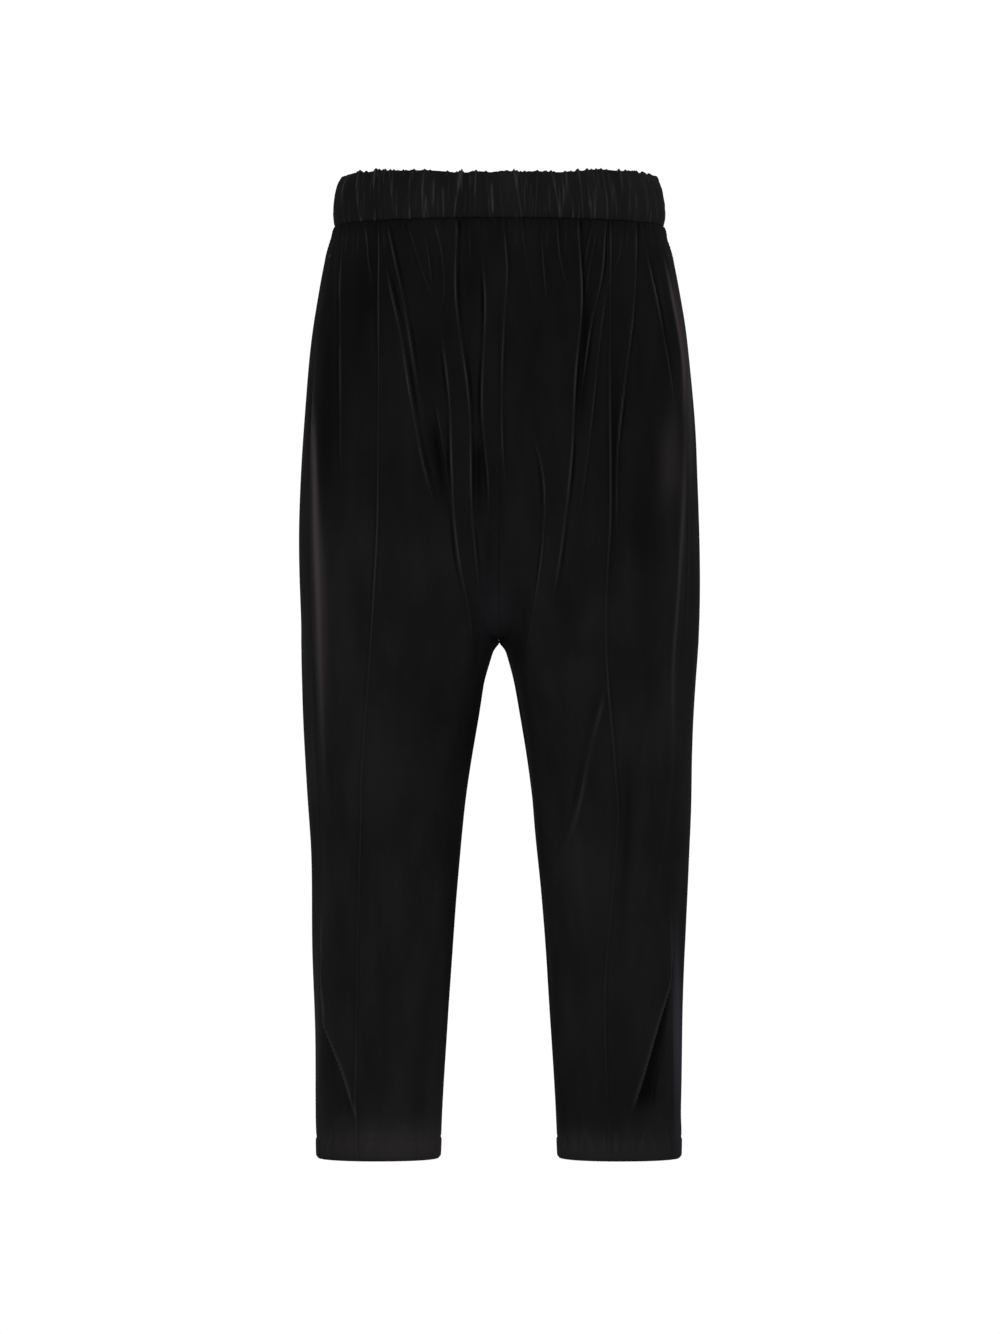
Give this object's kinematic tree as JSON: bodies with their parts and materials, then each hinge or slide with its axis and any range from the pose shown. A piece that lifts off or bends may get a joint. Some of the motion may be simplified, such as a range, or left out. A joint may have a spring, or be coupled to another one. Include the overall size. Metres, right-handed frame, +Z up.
{
  "type": "track pants",
  "caption": "Full-length velour track pants with an elastic waistband, stitched pintucks, side pockets and tapered legs, filled out with no wearer.",
  "frame": {"origin": "middle of the waistband: on its vertical axis, halfway up its height, where a waist holds it", "axes": "+Z up towards the waist, -Y towards the garment's front, +X towards the wearer's left side"},
  "size_m": [0.4083, 0.2894, 1.0003],
  "materials": {
    "velour": "black stretch velour with a short sheared pile and a soft sheen",
    "velour_inside": "plain knit back of the velour"
  },
  "bodies": {
    "root": {"waistband_front": "velour", "waistband_back": "velour", "front_left": "velour", "front_right": "velour", "back_left": "velour", "back_right": "velour", "pocket_facing_left": "velour_inside", "pocket_facing_right": "velour_inside"}
  },
  "joints": []
}
